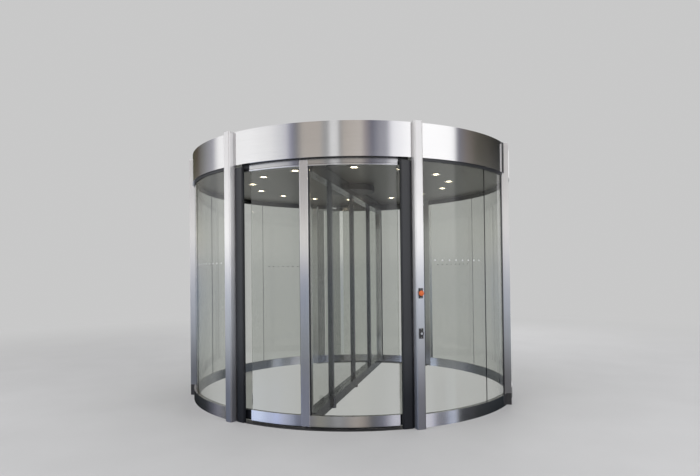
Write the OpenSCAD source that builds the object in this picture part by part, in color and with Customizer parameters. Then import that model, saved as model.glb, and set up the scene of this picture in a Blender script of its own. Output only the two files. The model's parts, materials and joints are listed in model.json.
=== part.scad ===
// Automatic revolving door with two wings: a round drum with curved glass walls and a
// steel canopy, and a rotor whose flat wing carries a curved glass end in each opening.
// Millimetres, +Z up, origin on the floor at the axis of the drum, the street towards -Y.

/* [Drum] */
// Outer radius of the canopy and of the plinths
canopy_r = 1950; // [1800:10:2100]
// Height of the canopy ring
canopy_h = 330; // [250:5:450]
// Sheet thickness of the canopy skin
sheet_t = 4; // [3:0.5:6]
// Height from the floor to the lower edge of the canopy
clear_h = 2530; // [2300:10:2700]
// Height of the ceiling above the lower edge of the canopy
ceiling_rise = 35; // [30:1:50]
// Thickness of the ceiling board
ceiling_t = 12; // [8:1:20]
// Thickness of the roof board that closes the canopy
roof_t = 8; // [5:1:15]
// How far the wall glass is set back behind the canopy and the plinths
glass_setback = 25; // [18:1:35]
// Thickness of the wall glass
wall_t = 12; // [8:1:16]
// How far posts, plinths and head rails reach inside the wall glass
wall_inset = 8; // [5:1:15]
// Angle from a post to the first joint between two panes of wall glass
joint_angle = 27; // [22:0.5:32]
// Width of the rubber seal between two panes of wall glass
seal_w = 5; // [3:0.5:10]
// Height of the plinth below the wall glass
plinth_h = 125; // [80:5:200]
// Height of the dark rail that shows below the canopy
head_drop = 26; // [18:1:40]
// How far the dark rail stands out beyond the wall glass
head_proud = 10; // [6:1:14]

/* [Posts] */
// Angle of a post from the middle of its opening
post_angle = 28.3; // [27:0.1:32]
// Width of a post
post_w = 88; // [80:1:100]
// How far the face of a post stands out beyond the canopy
post_proud = 50; // [20:1:70]
// Wall thickness of a post
post_wall = 4; // [3:0.5:6]
// Radius of the two outer corners of a post
post_corner = 16; // [10:0.5:18]
// Radius of the two corners of a post at the glass
post_back_corner = 7; // [5:0.5:10]
// How far a post rises above the canopy
post_over = 5; // [1:1:15]
// Width of the rubber safety strip beside a post
strip_w = 114; // [90:1:125]
// Depth of the rubber safety strip
strip_d = 34; // [24:1:40]
// Width of the groove between a post and the raised pad of the strip
strip_groove_w = 16; // [10:1:22]
// Depth of that groove
strip_groove_d = 14; // [8:1:18]
// Radius of the shoulders of the pad
pad_corner = 11; // [6:0.5:14]

/* [Facade] */
// Distance of the front of the facade jambs before the axis
facade_y = 700; // [600:10:800]
// Depth of a facade jamb
jamb_d = 60; // [40:1:90]
// How far the outer face of a jamb stands beyond the canopy at the facade
jamb_cover = 52; // [40:1:80]
// Width of a jamb before it is fitted to the round of the drum
jamb_w = 110; // [100:1:130]
// Width of the rubber gasket between a jamb and the wall
gasket_w = 46; // [30:1:60]
// Thickness of the rubber gasket
gasket_t = 6; // [4:0.5:8]
// Width of the flange where the canopy meets the facade
flange_w = 40; // [25:1:60]
// Thickness of that flange
flange_t = 5; // [3:0.5:8]

/* [Ceiling lights] */
// Number of round lights on each side of the wing
light_count = 7; // [4:1:9]
// Angle from the wing at rest to the first light beside it
light_first_angle = 15.3; // [10:0.1:20]
// Radius of the circle that the lights stand on
light_circle_r = 1240; // [1000:5:1400]
// Radius of the hole for a light
light_r = 48; // [35:1:60]
// Width of the rim around a light
light_rim = 8; // [5:0.5:12]
// How far the rim of a light stands below the ceiling
light_drop = 4; // [2:0.5:4.5]
// Height of the can of a light above the ceiling
light_can = 40; // [30:1:60]

/* [Floor] */
// Thickness of the threshold
threshold_t = 4; // [3:0.5:5]
// Width of the threshold
threshold_w = 100; // [60:1:120]
// How far the threshold stays back from the face of the canopy
threshold_back = 14; // [5:1:30]

/* [Rotor] */
// Gap between the curved rotor ends and the posts
rotor_gap = 15; // [12:0.5:25]
// Depth of the curved rails
rail_d = 44; // [36:1:60]
// Angle from the middle of a curved end to its edge
end_angle = 22.7; // [18:0.1:23]
// Height of the lower face of the rotor above the floor
floor_gap = 24; // [20:1:40]
// Height of the curved bottom rail
bottom_rail_h = 101; // [70:1:160]
// Height of the curved top rail
top_rail_h = 93; // [60:1:120]
// Gap between the rotor and the ceiling
ceiling_gap = 10; // [6:0.5:15]
// Thickness of the rotor glass
pane_t = 10; // [8:1:12]
// How far glass reaches into a rail
bite = 15; // [10:1:20]
// Gap on each side of a pane in its groove
groove_gap = 2; // [0.5:0.5:3]
// Angle of the wing from the middle of the curved ends
wing_angle = -4.5; // [-8:0.5:0]
// Turn of the rotor at rest
rest_turn = 0.65; // [-3:0.05:3]
// Width of an end stile
stile_w = 85; // [70:1:110]
// Depth of an end stile
stile_d = 115; // [80:5:260]
// Radius of the corners of an end stile
stile_corner = 5; // [3:0.5:8]
// How far an end stile stands out beyond the curved rails
stile_proud = 4; // [1:0.5:6]
// Width of the straight rails of the wing
wing_rail_w = 120; // [90:1:150]
// Height of the head rail of the wing
head_rail_h = 130; // [90:1:180]
// Height of the foot rail of the wing
foot_rail_h = 100; // [80:1:160]
// Distance of the inner stiles from the axis
inner_stile_s = 1015; // [700:5:1200]
// Width of the inner stiles and of the centre mullion
inner_stile_w = 50; // [36:1:70]
// Depth of the inner stiles and of the centre mullion
inner_stile_d = 60; // [40:1:80]
// Width of the groove down each face of the centre mullion
mullion_groove_w = 8; // [4:1:12]
// Depth of that groove
mullion_groove_d = 6; // [3:1:8]
// Radius of the round hub cover under the ceiling
hub_r = 300; // [220:5:400]
// Height of the hub cover
hub_h = 68; // [40:1:100]
// Length of the black blocks at the ends of the curved rails
cap_l = 105; // [60:1:115]
// How far these blocks stay back from the faces of the rails
cap_inset = 4; // [2:0.5:8]
// Thickness of the floor brushes
brush_t = 12; // [8:1:16]
// Gap between a brush and the threshold
brush_gap = 5; // [5:0.5:10]

/* [Bearings] */
// Radius of the pin in the floor bearing
pin_r = 15; // [10:1:20]
// Length of the pin inside the foot rail
pin_l = 40; // [25:1:60]
// Radius of the floor bearing
bearing_r = 60; // [40:1:80]
// Radius of the spindle at the top
spindle_r = 25; // [18:1:35]
// Running clearance of the pin and the spindle
run_gap = 0.05; // [0.02:0.01:0.1]
// Height of the top bearing on the ceiling
top_bearing_h = 40; // [30:1:60]
// Radius of the foot of the top bearing
top_bearing_r = 100; // [80:1:140]

/* [Controls] */
// Height of the emergency button
button_z = 1258; // [1000:10:1400]
// Height of the key switch
switch_z = 886; // [700:10:1000]
// Width of a control plate
plate_w = 42; // [36:1:46]
// Height of a control plate
plate_h = 95; // [80:1:120]
// Thickness of a control plate
plate_t = 6; // [4:0.5:10]
// Radius of the push button
push_r = 23; // [18:0.5:25]
// Radius of the round seat of the key switch
key_seat_r = 24; // [20:0.5:26]
// Radius of the key barrel
barrel_r = 11; // [8:0.5:14]
// Distance of the lock on the foot rail from the axis
lock_s = 1160; // [900:5:1400]
// Width of the lock on the foot rail
lock_w = 60; // [44:1:70]
// Height of the lock on the foot rail
lock_h = 120; // [100:1:160]
// Depth of the lock on the foot rail
lock_t = 32; // [20:1:40]
// Radius of the outer corners of the lock
lock_corner = 12; // [6:0.5:16]

/* [Hidden] */
$fn = 144;

steel = [0.74, 0.75, 0.77];
dark_steel = [0.40, 0.40, 0.41];
rubber = [0.10, 0.11, 0.13];
glass = [0.62, 0.70, 0.68, 0.4];
board = [0.70, 0.69, 0.67];
lamp = [1.0, 0.95, 0.82];
signal_red = [0.85, 0.30, 0.12];

// Gap that keeps curved faces apart where a piece is seated
seat = 0.3;
// How far a cutter reaches past what it cuts
over = 1;

canopy_top = clear_h + canopy_h;
ceiling_z = clear_h + ceiling_rise;
rotor_top = ceiling_z - ceiling_gap;
wall_r = canopy_r - glass_setback;
wall_in_r = wall_r - wall_t;
inside_r = wall_in_r - wall_inset;
post_face_r = canopy_r + post_proud;
head_out_r = wall_r + head_proud;
lip_in_r = head_out_r + seat;
head_low = clear_h - head_drop;
strip_out_r = inside_r + strip_d;
threshold_r = canopy_r - threshold_back;
joint_angles = [post_angle + joint_angle, 90, 180 - post_angle - joint_angle];

canopy_at_facade = sqrt(canopy_r * canopy_r - facade_y * facade_y);
jamb_x = canopy_at_facade + jamb_cover;

rotor_r = inside_r - rotor_gap;
rail_in_r = rotor_r - rail_d;
rail_mid_r = rotor_r - rail_d / 2;
stile_face = rotor_r + stile_proud;
stile_back = stile_face - stile_d;
bottom_rail_top = floor_gap + bottom_rail_h;
top_rail_low = rotor_top - top_rail_h;
foot_top = floor_gap + foot_rail_h;
head_rail_low = rotor_top - head_rail_h;

// Angle at the axis that an arc of this length spans
function arc_angle(length, r) = length / r * 180 / PI;

// Angles run from the street side, -Y, towards +X.
// Ring segment with a rectangular section
module arc_bar(r_in, r_out, from, to, low, high) {
    rotate([0, 0, from - 90])
        rotate_extrude(angle = to - from)
            translate([r_in, low])
                square([r_out - r_in, high - low]);
}

// Straight bar that lies along a radius, s measured outwards from the axis
module radial_bar(s0, s1, width, low, high) {
    translate([-width / 2, -s1, low])
        cube([width, s1 - s0, high - low]);
}

// The same bar, upright, with one radius at its outer corners and one at the corners behind
module round_bar(s0, s1, width, corner, back_corner, low, high) {
    depth = s1 - s0;
    translate([0, 0, low])
        linear_extrude(height = high - low)
            translate([-width / 2, -s1]) {
                translate([corner, 0])
                    square([width - 2 * corner, depth - back_corner]);
                translate([back_corner, depth / 2])
                    square([width - 2 * back_corner, depth / 2]);
                translate([0, corner])
                    square([width, depth - corner - back_corner]);
                for (x = [corner, width - corner])
                    translate([x, corner])
                        circle(r = corner);
                for (x = [back_corner, width - back_corner])
                    translate([x, depth - back_corner])
                        circle(r = back_corner);
            }
}

module at_angle(a) {
    rotate([0, 0, a])
        children();
}

module both_ends() {
    for (end = [0, 180])
        at_angle(end)
            children();
}

// Room for the four posts, as a cutter for what ends against them
module post_slots(low, high) {
    both_ends()
        for (side = [-1, 1])
            at_angle(side * post_angle)
                radial_bar(inside_r - over, post_face_r + over, post_w, low, high);
}

module post(a) {
    color(steel)
        at_angle(a)
            difference() {
                round_bar(inside_r, post_face_r, post_w, post_corner, post_back_corner, 0, canopy_top + post_over);
                round_bar(inside_r + post_wall, post_face_r - post_wall, post_w - 2 * post_wall,
                          post_corner - post_wall, max(1, post_back_corner - post_wall),
                          -over, canopy_top + post_over - post_wall);
            }
}

// Rubber strip that stands beside a post, towards the opening: a pad with round shoulders on a flat
// base, which leaves a groove along the post
module safety_strip(side) {
    pad_w = strip_w - strip_groove_w;
    linear_extrude(height = head_low)
        translate([side > 0 ? -post_w / 2 - strip_w : post_w / 2, -strip_out_r]) {
            translate([0, strip_groove_d])
                square([strip_w, strip_d - strip_groove_d]);
            translate([side > 0 ? 0 : strip_groove_w, 0]) {
                translate([pad_corner, 0])
                    square([pad_w - 2 * pad_corner, strip_d]);
                translate([0, pad_corner])
                    square([pad_w, strip_d - pad_corner]);
                for (x = [pad_corner, pad_w - pad_corner])
                    translate([x, pad_corner])
                        circle(r = pad_corner);
            }
        }
}

module safety_strips(a) {
    color(rubber)
        for (side = [-1, 1])
            at_angle(a + side * post_angle)
                safety_strip(side);
}

// Room for the foot of the two safety strips of one opening
module strip_slots(a) {
    for (side = [-1, 1])
        at_angle(a + side * post_angle)
            translate([side > 0 ? -post_w / 2 - strip_w : post_w / 2, -strip_out_r - over, -over])
                cube([strip_w, strip_d + 2 * over, threshold_t + 2 * over]);
}

module threshold(a) {
    color(dark_steel)
        difference() {
            arc_bar(threshold_r - threshold_w, threshold_r, a - post_angle, a + post_angle, 0, threshold_t);
            post_slots(-over, threshold_t + over);
            strip_slots(a);
        }
}

// Arc of the wall from post to post on one side, where a is 90 or -90
module wall_arc(a, r_in, r_out, low, high) {
    arc_bar(r_in, r_out, a - 90 + post_angle, a + 90 - post_angle, low, high);
}

module glass_groove(a, low, high) {
    wall_arc(a, wall_in_r - groove_gap, wall_r + groove_gap, low, high);
}

module at_joints(a) {
    for (j = joint_angles)
        at_angle(a - 90 + j)
            children();
}

module wall_glass(a) {
    color(glass)
        difference() {
            wall_arc(a, wall_in_r, wall_r, plinth_h - bite, head_low + bite);
            post_slots(0, clear_h);
            at_joints(a)
                radial_bar(wall_in_r - over, wall_r + over, seal_w, 0, clear_h);
        }
}

module wall_joint_seals() {
    color(rubber)
        for (a = [-90, 90])
            at_joints(a)
                radial_bar(wall_in_r - over, wall_r + over, seal_w, plinth_h, head_low);
}

module plinth(a) {
    color(steel)
        difference() {
            wall_arc(a, inside_r, canopy_r, 0, plinth_h);
            glass_groove(a, plinth_h - bite, plinth_h + over);
            post_slots(-over, plinth_h + over);
        }
}

module head_rail(a) {
    color(rubber)
        difference() {
            wall_arc(a, inside_r, head_out_r, head_low, ceiling_z);
            glass_groove(a, head_low - over, head_low + bite);
            post_slots(0, ceiling_z + over);
        }
}

// Folded sheet between two posts, a C open towards the axis
module canopy_skin(a, half) {
    color(steel)
        difference() {
            rotate([0, 0, a - half - 90])
                rotate_extrude(angle = 2 * half)
                    polygon([
                        [lip_in_r, clear_h], [canopy_r, clear_h],
                        [canopy_r, canopy_top], [lip_in_r, canopy_top],
                        [lip_in_r, canopy_top - sheet_t], [canopy_r - sheet_t, canopy_top - sheet_t],
                        [canopy_r - sheet_t, clear_h + sheet_t], [lip_in_r, clear_h + sheet_t]]);
            post_slots(clear_h - over, canopy_top + over);
        }
}

// Upright flange on the canopy in front of each facade jamb
module canopy_flanges() {
    span = arc_angle(flange_w, canopy_r);
    to = atan(canopy_at_facade / facade_y);
    color(dark_steel)
        for (side = [-1, 1])
            arc_bar(canopy_r + seat, canopy_r + seat + flange_t,
                    side > 0 ? to - span : -to, side > 0 ? to : -to + span, clear_h, canopy_top);
}

module canopy_roof() {
    color(dark_steel)
        difference() {
            translate([0, 0, canopy_top - sheet_t - roof_t - seat])
                cylinder(r = canopy_r - 2 * sheet_t, h = roof_t);
            post_slots(clear_h, canopy_top);
        }
}

module at_lights() {
    pitch = (180 - 2 * light_first_angle) / (light_count - 1);
    both_ends()
        for (i = [0:light_count - 1])
            at_angle(rest_turn + wing_angle + light_first_angle + i * pitch)
                translate([0, -light_circle_r, 0])
                    children();
}

module ceiling() {
    color(board)
        difference() {
            translate([0, 0, ceiling_z])
                cylinder(r = head_out_r, h = ceiling_t);
            post_slots(clear_h, canopy_top);
            at_lights()
                translate([0, 0, ceiling_z - over])
                    cylinder(r = light_r + seat, h = ceiling_t + 2 * over);
            translate([0, 0, ceiling_z - over])
                cylinder(r = bearing_r, h = ceiling_t + 2 * over);
        }
}

// Round light: a can through the ceiling, with a rim below it and a lamp set back inside
module downlights() {
    lens_r = light_r * 0.7;
    color(lamp)
        at_lights()
            translate([0, 0, ceiling_z])
                rotate_extrude()
                    polygon([
                        [0, light_can / 2], [lens_r, light_can / 2], [light_r - light_rim / 2, -light_drop],
                        [light_r + light_rim, -light_drop], [light_r + light_rim, 0], [light_r, 0],
                        [light_r, light_can], [0, light_can]]);
}

module floor_bearing() {
    color(dark_steel) {
        cylinder(r = bearing_r, h = floor_gap - seat);
        cylinder(r = pin_r, h = floor_gap + pin_l - over);
    }
}

module top_bearing() {
    foot_t = 12;
    color(dark_steel)
        translate([0, 0, ceiling_z + ceiling_t])
            difference() {
                union() {
                    cylinder(r = top_bearing_r, h = foot_t);
                    cylinder(r = bearing_r, h = top_bearing_h);
                }
                translate([0, 0, -over])
                    cylinder(r = spindle_r + run_gap, h = top_bearing_h + 2 * over);
            }
}

// Frame of a control on the right front post: -Y out of the post, Z measured from its middle
module on_right_post(z) {
    at_angle(post_angle)
        translate([0, -post_face_r, z])
            children();
}

module control_plates() {
    color(dark_steel)
        for (z = [button_z, switch_z])
            on_right_post(z)
                round_bar(0, plate_t, plate_w, 2, 1, -plate_h / 2, plate_h / 2);
}

// Mushroom button on a neck
module emergency_button() {
    neck = 9;
    color(signal_red)
        on_right_post(button_z)
            translate([0, -plate_t, 0])
                rotate([90, 0, 0])
                    rotate_extrude()
                        polygon([[0, 0], [push_r * 0.6, 0], [push_r * 0.6, neck], [push_r - 1, neck], [push_r, neck + 1],
                                 [push_r, neck + 5], [push_r * 0.92, neck + 8], [push_r * 0.75, neck + 10],
                                 [push_r * 0.4, neck + 11.5], [0, neck + 12]]);
}

// Round seat of the lock, domed towards the barrel in its middle
module key_switch() {
    color(dark_steel)
        on_right_post(switch_z)
            translate([0, -plate_t, 0])
                rotate([90, 0, 0])
                    rotate_extrude()
                        polygon([[barrel_r + seat, 0], [key_seat_r, 0], [key_seat_r, 3], [key_seat_r - 3, 6],
                                 [barrel_r + 2, 8], [barrel_r + seat, 8]]);
}

module key_barrel() {
    barrel_h = 9;
    slot_w = 3;
    color(steel)
        on_right_post(switch_z)
            translate([0, -plate_t, 0])
                rotate([90, 0, 0])
                    difference() {
                        cylinder(r = barrel_r, h = barrel_h);
                        translate([-slot_w / 2, -barrel_r * 0.6, barrel_h / 2])
                            cube([slot_w, barrel_r * 1.2, barrel_h]);
                    }
}

// Jamb of the facade, cut to the round of the wall and of the canopy
module jamb(side) {
    color(steel)
        difference() {
            translate([side > 0 ? jamb_x - jamb_w : -jamb_x, -facade_y, plinth_h])
                cube([jamb_w, jamb_d, canopy_top - plinth_h]);
            translate([0, 0, plinth_h - over])
                cylinder(r = wall_r + gasket_t + 2 * seat, h = head_low - plinth_h + over);
            translate([0, 0, head_low])
                cylinder(r = head_out_r + seat, h = canopy_top);
            translate([0, 0, clear_h])
                cylinder(r = canopy_r + seat, h = canopy_h + over);
        }
}

module jamb_feet() {
    color(dark_steel)
        for (side = [-1, 1])
            difference() {
                translate([side > 0 ? jamb_x - jamb_w : -jamb_x, -facade_y, 0])
                    cube([jamb_w, jamb_d, plinth_h]);
                translate([0, 0, -over])
                    cylinder(r = canopy_r + seat, h = plinth_h + 2 * over);
            }
}

// Rubber strip on the wall glass, one part in front of the jamb and the rest behind its edge
module facade_gaskets() {
    span = arc_angle(gasket_w, wall_r);
    to = atan(sqrt(wall_r * wall_r - facade_y * facade_y) / facade_y) + span / 3;
    color(rubber)
        for (side = [-1, 1])
            arc_bar(wall_r + seat, wall_r + seat + gasket_t,
                    side > 0 ? to - span : -to, side > 0 ? to : -to + span, plinth_h, head_low);
}

// The rotor as it stands at rest
module at_rest() {
    at_angle(rest_turn)
        children();
}

module along_wing() {
    at_angle(rest_turn + wing_angle)
        children();
}

// Groove for the glass from the centre mullion to both end stiles
module wing_groove(low, high) {
    both_ends()
        radial_bar(inner_stile_w / 2, stile_back + over, pane_t + 2 * groove_gap, low, high);
}

module wing_head_rail() {
    color(steel)
        along_wing()
            difference() {
                radial_bar(-stile_back, stile_back, wing_rail_w, head_rail_low, rotor_top);
                wing_groove(head_rail_low - over, head_rail_low + bite);
            }
}

module wing_foot_rail() {
    color(steel)
        along_wing()
            difference() {
                radial_bar(-stile_back, stile_back, wing_rail_w, floor_gap, foot_top);
                wing_groove(foot_top - bite, foot_top + over);
                translate([0, 0, floor_gap - over])
                    cylinder(r = pin_r + run_gap, h = pin_l + over);
            }
}

// Round cover of the hub, in two halves beside the head rail
module hub_cover() {
    low = rotor_top - hub_h;
    color(dark_steel)
        along_wing()
            difference() {
                translate([0, 0, low])
                    cylinder(r = hub_r, h = hub_h);
                radial_bar(-hub_r - over, hub_r + over, wing_rail_w, low - over, rotor_top + over);
            }
}

module top_spindle() {
    color(dark_steel)
        translate([0, 0, rotor_top])
            cylinder(r = spindle_r, h = ceiling_gap + ceiling_t + top_bearing_h);
}

module centre_mullion() {
    color(steel)
        along_wing()
            difference() {
                radial_bar(-inner_stile_w / 2, inner_stile_w / 2, inner_stile_d, foot_top, head_rail_low);
                for (side = [-1, 1])
                    translate([side * inner_stile_d / 2 - mullion_groove_d, -mullion_groove_w / 2, foot_top - over])
                        cube([2 * mullion_groove_d, mullion_groove_w, head_rail_low - foot_top + 2 * over]);
            }
}

// Stiles on both faces of the wing glass
module inner_stiles() {
    color(steel)
        along_wing()
            both_ends()
                difference() {
                    radial_bar(inner_stile_s - inner_stile_w / 2, inner_stile_s + inner_stile_w / 2,
                               inner_stile_d, foot_top, head_rail_low);
                    radial_bar(inner_stile_s - inner_stile_w, inner_stile_s + inner_stile_w,
                               pane_t + 2 * seat, foot_top - over, head_rail_low + over);
                }
}

module wing_glass() {
    color(glass)
        along_wing()
            both_ends()
                radial_bar(inner_stile_w / 2, stile_back, pane_t, foot_top - bite, head_rail_low + bite);
}

// Locks on the foot rail, one on each face of the wing, with a round recess for the barrel
module foot_locks() {
    face = wing_rail_w / 2 + lock_t;
    color(steel)
        along_wing()
            both_ends()
                translate([0, -lock_s, 0])
                    difference() {
                        at_angle(90)
                            round_bar(wing_rail_w / 2, face, lock_w, lock_corner, 1, floor_gap, floor_gap + lock_h);
                        translate([face - lock_t / 4, 0, floor_gap + lock_h * 0.72])
                            rotate([0, 90, 0])
                                cylinder(r = lock_w / 5, h = lock_t);
                    }
}

module end_stile(end) {
    color(steel)
        along_wing()
            at_angle(end)
                round_bar(stile_back, stile_face, stile_w, stile_corner, stile_corner, floor_gap, rotor_top);
}

// Room for the two end stiles, as a cutter for the curved ends
module stile_slots(low, high) {
    along_wing()
        radial_bar(-stile_face - over, stile_face + over, stile_w, low, high);
}

module curved_part(end, r_in, r_out, low, high) {
    at_rest()
        at_angle(end)
            arc_bar(r_in, r_out, -end_angle, end_angle, low, high);
}

module curved_groove(end, low, high) {
    half = pane_t / 2 + groove_gap;
    curved_part(end, rail_mid_r - half, rail_mid_r + half, low, high);
}

module top_rail(end) {
    color(steel)
        difference() {
            curved_part(end, rail_in_r, rotor_r, top_rail_low, rotor_top);
            curved_groove(end, top_rail_low - over, top_rail_low + bite);
            stile_slots(top_rail_low - over, rotor_top + over);
        }
}

module bottom_rail(end) {
    color(steel)
        difference() {
            curved_part(end, rail_in_r, rotor_r, floor_gap, bottom_rail_top);
            curved_groove(end, bottom_rail_top - bite, bottom_rail_top + over);
            stile_slots(floor_gap - over, bottom_rail_top + over);
        }
}

module curved_glass(end) {
    color(glass)
        difference() {
            curved_part(end, rail_mid_r - pane_t / 2, rail_mid_r + pane_t / 2,
                        bottom_rail_top - bite, top_rail_low + bite);
            stile_slots(0, rotor_top);
        }
}

module rail_end_caps() {
    span = arc_angle(cap_l, rotor_r);
    color(rubber)
        at_rest()
            both_ends()
                for (side = [-1, 1], z = [[floor_gap, bottom_rail_top], [top_rail_low, rotor_top]])
                    at_angle(side * (end_angle + span / 2))
                        arc_bar(rail_in_r + cap_inset, rotor_r - cap_inset, -span / 2, span / 2,
                                z[0] + cap_inset, z[1] - cap_inset);
}

module floor_brushes() {
    low = threshold_t + brush_gap;
    color(rubber) {
        for (end = [0, 180])
            difference() {
                curved_part(end, rail_mid_r - brush_t / 2, rail_mid_r + brush_t / 2, low, floor_gap);
                stile_slots(0, floor_gap + over);
            }
        along_wing()
            both_ends()
                radial_bar(bearing_r + brush_gap, stile_face - brush_t, brush_t, low, floor_gap);
    }
}

threshold(0);  // front_threshold
threshold(180);  // rear_threshold
post(-post_angle);  // front_left_post
post(post_angle);  // front_right_post
post(180 + post_angle);  // rear_left_post
post(180 - post_angle);  // rear_right_post
safety_strips(0);  // front_safety_strips
safety_strips(180);  // rear_safety_strips
wall_glass(-90);  // left_wall_glass
wall_glass(90);  // right_wall_glass
plinth(-90);  // left_plinth
plinth(90);  // right_plinth
head_rail(-90);  // left_head_rail
head_rail(90);  // right_head_rail
wall_joint_seals();
canopy_skin(0, post_angle);  // front_canopy
canopy_skin(180, post_angle);  // rear_canopy
canopy_skin(-90, 90 - post_angle);  // left_canopy
canopy_skin(90, 90 - post_angle);  // right_canopy
canopy_flanges();
canopy_roof();
ceiling();
downlights();
floor_bearing();
top_bearing();
control_plates();
emergency_button();
key_switch();
key_barrel();
jamb(-1);  // left_jamb
jamb(1);  // right_jamb
jamb_feet();
facade_gaskets();
centre_mullion();
wing_head_rail();
wing_foot_rail();
hub_cover();
top_spindle();
inner_stiles();
end_stile(0);  // front_end_stile
end_stile(180);  // rear_end_stile
wing_glass();
foot_locks();
curved_glass(0);  // front_curved_glass
curved_glass(180);  // rear_curved_glass
top_rail(0);  // front_top_rail
top_rail(180);  // rear_top_rail
bottom_rail(0);  // front_bottom_rail
bottom_rail(180);  // rear_bottom_rail
rail_end_caps();
floor_brushes();
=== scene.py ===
"""Dresses the revolving door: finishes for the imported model, its fine pieces and the studio round it."""

import json
import math

import bmesh
import bpy
from bpy.props import FloatProperty, FloatVectorProperty, IntProperty, PointerProperty
from bpy.types import Operator, Panel, PropertyGroup
from mathutils import Matrix, Vector

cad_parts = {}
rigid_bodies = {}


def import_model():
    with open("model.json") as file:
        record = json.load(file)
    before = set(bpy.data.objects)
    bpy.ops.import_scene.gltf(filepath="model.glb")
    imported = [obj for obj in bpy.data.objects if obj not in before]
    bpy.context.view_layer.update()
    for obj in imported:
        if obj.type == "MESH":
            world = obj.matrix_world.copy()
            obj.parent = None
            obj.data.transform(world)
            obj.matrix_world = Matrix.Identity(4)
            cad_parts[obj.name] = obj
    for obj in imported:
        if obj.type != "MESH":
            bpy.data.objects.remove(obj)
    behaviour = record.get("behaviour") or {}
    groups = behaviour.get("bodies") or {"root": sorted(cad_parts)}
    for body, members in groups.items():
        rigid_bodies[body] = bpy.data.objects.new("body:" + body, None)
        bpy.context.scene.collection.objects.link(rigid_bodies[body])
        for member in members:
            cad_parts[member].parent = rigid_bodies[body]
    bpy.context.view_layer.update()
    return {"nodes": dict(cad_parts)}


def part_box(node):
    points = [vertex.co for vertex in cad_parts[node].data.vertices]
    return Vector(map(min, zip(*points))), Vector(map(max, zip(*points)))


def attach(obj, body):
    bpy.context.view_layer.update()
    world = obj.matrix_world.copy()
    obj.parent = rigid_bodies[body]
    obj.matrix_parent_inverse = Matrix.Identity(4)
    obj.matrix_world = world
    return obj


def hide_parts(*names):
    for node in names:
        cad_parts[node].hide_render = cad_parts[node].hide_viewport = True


bl_info = {
    "name": "Revolving Door",
    "version": (1, 0, 0),
    "blender": (4, 5, 0),
    "location": "3D View > Sidebar > Revolving Door",
    "description": "Finishes, fine pieces and studio for a two-wing revolving door",
    "category": "Object",
}

for startup_object in list(bpy.data.objects):
    bpy.data.objects.remove(startup_object)
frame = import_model()

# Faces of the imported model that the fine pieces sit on
WALL_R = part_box("right_wall_glass")[1].x
CEILING_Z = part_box("ceiling")[0].z
ROOF_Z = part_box("canopy_roof")[1].z
BOTTOM_RAIL_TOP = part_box("front_bottom_rail")[1].z
TOP_RAIL_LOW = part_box("front_top_rail")[0].z

# How far the beads and the plate screws sink into the faces that carry them
SEAT = 0.0005
# Edges sharper than this angle aren't smoothed
SHARP_EDGE = math.radians(35)

# Angle of the right front post, and the radius at the face of its control plates
POST_ANGLE = math.radians(28.3)
PLATE_R = 2.006
# Heights of the emergency button and the key switch
BUTTON_Z = 1.258
SWITCH_Z = 0.886
# Profile of the mushroom button from its plate out, as radius and height
BUTTON = (
    (0, 0.0), (0.015, 0.0), (0.0155, 0.001), (0.015, 0.003), (0.0125, 0.004), (0.0125, 0.009),
    (0.023, 0.009), (0.0247, 0.0097), (0.0255, 0.0113), (0.0255, 0.0136), (0.0247, 0.0155),
    (0.0222, 0.0175), (0.018, 0.0192), (0.012, 0.0204), (0.0055, 0.0209), (0, 0.021))
# Profile of a pan head screw with a shallow recess, as radius and height
SCREW_HEAD = (
    (0, 0.0), (0.0055, 0.0), (0.0055, 0.001), (0.0045, 0.0022), (0.002, 0.0025), (0.0016, 0.0014),
    (0, 0.0014))
# Size of the screws on the control plates, as a share of those on the roof
PLATE_SCREW = 0.6

# Curved ends of the rotor at rest: their turn, half their angle and half the angle of a stile
REST_TURN = math.radians(0.65)
RAIL_END = math.radians(22.7)
STILE_HALF = math.radians(1.3)
# Outer radius of the curved rails and of the glass between them, and the thickness of that glass
RAIL_R = 1.89
GLASS_R = 1.873
GLASS_T = 0.01
# How far a bead stays above the lower edge of its rail
BEAD_EDGE = 0.001
# How far the stile gaskets stand out from the glass, and the share of it at their free edge
GASKET_DEPTH = 0.004
GASKET_LIP = 0.3

# Angle of the wing, which stands a little left of the middle
WING_ANGLE = math.radians(-3.85)
# Ceiling lights on each side of the wing: their circle, their number, the angle from the wing to the
# nearest one and the angle between two
LIGHT_CIRCLE_R = 1.24
LIGHT_COUNT = 7
FIRST_LIGHT = math.radians(15.3)
LIGHT_PITCH = (math.pi - 2 * FIRST_LIGHT) / (LIGHT_COUNT - 1)
# Profile of a lens, as a share of its radius and a height over the face of the ceiling
LENS = ((0, -0.003), (0.5, -0.002), (0.85, 0.001), (0.97, 0.004), (1, 0.007), (1, 0.011), (0, 0.011))

# Profile of a dot on the wall glass, as a share of its radius and a height over the glass
MARKER = ((0, 0.0001), (1, 0.0001), (0.96, 0.0005), (0, 0.0006))

# Cover strips on the roof: radii of their ends, how far they sink into the board and rise over it
STRIP_START = 0.2
STRIP_END = 1.86
STRIP_SINK = 0.001
STRIP_RISE = 0.0025
# Width and height of the bevel along their upper edges
STRIP_BEVEL = (0.001, 0.0005)
# Distance of the outer screws from the ends of a strip, and how far each screw stands beside its
# middle line, as a share of half its width
SCREW_INSET = 0.04
SCREW_OFFSET = 0.6
# How far the round plate in the middle of the roof covers the strips, and how much higher it is
ROOF_PLATE_COVER = 0.03
ROOF_PLATE_STEP = 0.001

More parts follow.
